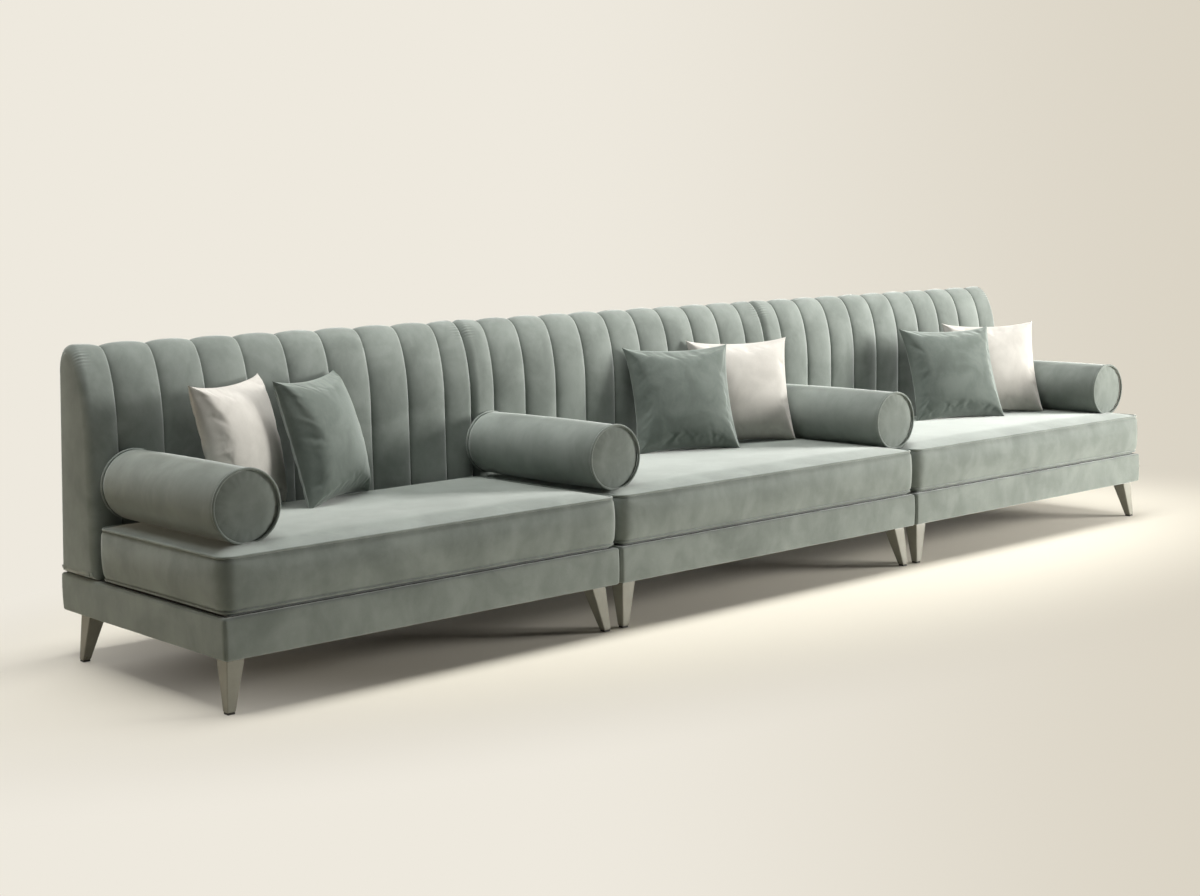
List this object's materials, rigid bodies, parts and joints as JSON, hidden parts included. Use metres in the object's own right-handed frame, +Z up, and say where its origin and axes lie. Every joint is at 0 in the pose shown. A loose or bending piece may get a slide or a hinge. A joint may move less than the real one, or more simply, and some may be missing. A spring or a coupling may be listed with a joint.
{
  "type": "modular majlis sofa",
  "caption": "Long low majlis sofa of joined upholstered modules on tapered legs, with a channelled curved-top back, loose seat cushions, round bolsters and square pillows.",
  "frame": {"origin": "on the floor, under the middle of the row", "axes": "+X along the row towards its right-hand end, +Y from the front towards the back, +Z up"},
  "size_m": [4.637, 1.017, 1.0033],
  "materials": {
    "velvet": "sage grey-green velvet",
    "cream": "cream velvet",
    "paint": "grey-green painted wood",
    "glide": "dark glide pad",
    "timber": "planed timber",
    "board": "plywood",
    "dust": "black lining",
    "steel": "zinc plated"
  },
  "bodies": {
    "centre_module": {"centre_base_cover": "velvet", "centre_base_frame": "timber", "centre_seat_deck": "board", "centre_dust_cover": "dust", "centre_back_frame": "timber", "centre_back_pad": "velvet", "centre_leg_front_left": "paint", "centre_leg_front_right": "paint", "centre_leg_rear_left": "paint", "centre_leg_rear_right": "paint", "centre_glide_front_left": "glide", "centre_glide_front_right": "glide", "centre_glide_rear_left": "glide", "centre_glide_rear_right": "glide", "centre_hook": "steel", "centre_receiver": "steel"},
    "left_module": {"left_base_cover": "velvet", "left_base_frame": "timber", "left_seat_deck": "board", "left_dust_cover": "dust", "left_back_frame": "timber", "left_back_pad": "velvet", "left_leg_front_left": "paint", "left_leg_front_right": "paint", "left_leg_rear_left": "paint", "left_leg_rear_right": "paint", "left_glide_front_left": "glide", "left_glide_front_right": "glide", "left_glide_rear_left": "glide", "left_glide_rear_right": "glide", "left_hook": "steel"},
    "right_module": {"right_base_cover": "velvet", "right_base_frame": "timber", "right_seat_deck": "board", "right_dust_cover": "dust", "right_back_frame": "timber", "right_back_pad": "velvet", "right_leg_front_left": "paint", "right_leg_front_right": "paint", "right_leg_rear_left": "paint", "right_leg_rear_right": "paint", "right_glide_front_left": "glide", "right_glide_front_right": "glide", "right_glide_rear_left": "glide", "right_glide_rear_right": "glide", "right_receiver": "steel"},
    "left_seat": {"left_seat_cushion": "velvet"},
    "centre_seat": {"centre_seat_cushion": "velvet"},
    "right_seat": {"right_seat_cushion": "velvet"},
    "left_end_bolster": {"bolster_left_end": "velvet"},
    "first_join_bolster": {"bolster_first_join": "velvet"},
    "second_join_bolster": {"bolster_second_join": "velvet"},
    "right_end_bolster": {"bolster_right_end": "velvet"},
    "left_cream_pillow": {"left_pillow_cream": "cream"},
    "left_sage_pillow": {"left_pillow_sage": "velvet"},
    "centre_cream_pillow": {"centre_pillow_cream": "cream"},
    "centre_sage_pillow": {"centre_pillow_sage": "velvet"},
    "right_cream_pillow": {"right_pillow_cream": "cream"},
    "right_sage_pillow": {"right_pillow_sage": "velvet"}
  },
  "joints": [
    {"name": "left_module_pull", "type": "slide", "parent": "centre_module", "child": "left_module", "axis": [-1, 0, 0], "range_m": [0, 0.3]},
    {"name": "right_module_pull", "type": "slide", "parent": "centre_module", "child": "right_module", "axis": [1, 0, 0], "range_m": [0, 0.3]},
    {"name": "left_seat_pull", "type": "slide", "parent": "left_module", "child": "left_seat", "axis": [0, -1, 0], "range_m": [0, 0.6]},
    {"name": "centre_seat_pull", "type": "slide", "parent": "centre_module", "child": "centre_seat", "axis": [0, -1, 0], "range_m": [0, 0.6]},
    {"name": "right_seat_pull", "type": "slide", "parent": "right_module", "child": "right_seat", "axis": [0, -1, 0], "range_m": [0, 0.6]},
    {"name": "left_end_bolster_pull", "type": "slide", "parent": "left_seat", "child": "left_end_bolster", "axis": [0, -1, 0], "range_m": [0, 0.6]},
    {"name": "first_join_bolster_pull", "type": "slide", "parent": "centre_seat", "child": "first_join_bolster", "axis": [0, -1, 0], "range_m": [0, 0.6]},
    {"name": "second_join_bolster_pull", "type": "slide", "parent": "centre_seat", "child": "second_join_bolster", "axis": [0, -1, 0], "range_m": [0, 0.6]},
    {"name": "right_end_bolster_pull", "type": "slide", "parent": "right_seat", "child": "right_end_bolster", "axis": [0, -1, 0], "range_m": [0, 0.6]},
    {"name": "left_cream_pillow_lift", "type": "slide", "parent": "left_seat", "child": "left_cream_pillow", "axis": [0, 0, 1], "range_m": [0, 0.5]},
    {"name": "left_sage_pillow_lift", "type": "slide", "parent": "left_cream_pillow", "child": "left_sage_pillow", "axis": [0, 0, 1], "range_m": [0, 0.5]},
    {"name": "centre_cream_pillow_lift", "type": "slide", "parent": "centre_seat", "child": "centre_cream_pillow", "axis": [0, 0, 1], "range_m": [0, 0.5]},
    {"name": "centre_sage_pillow_lift", "type": "slide", "parent": "centre_cream_pillow", "child": "centre_sage_pillow", "axis": [0, 0, 1], "range_m": [0, 0.5]},
    {"name": "right_cream_pillow_lift", "type": "slide", "parent": "right_seat", "child": "right_cream_pillow", "axis": [0, 0, 1], "range_m": [0, 0.5]},
    {"name": "right_sage_pillow_lift", "type": "slide", "parent": "right_cream_pillow", "child": "right_sage_pillow", "axis": [0, 0, 1], "range_m": [0, 0.5]}
  ]
}
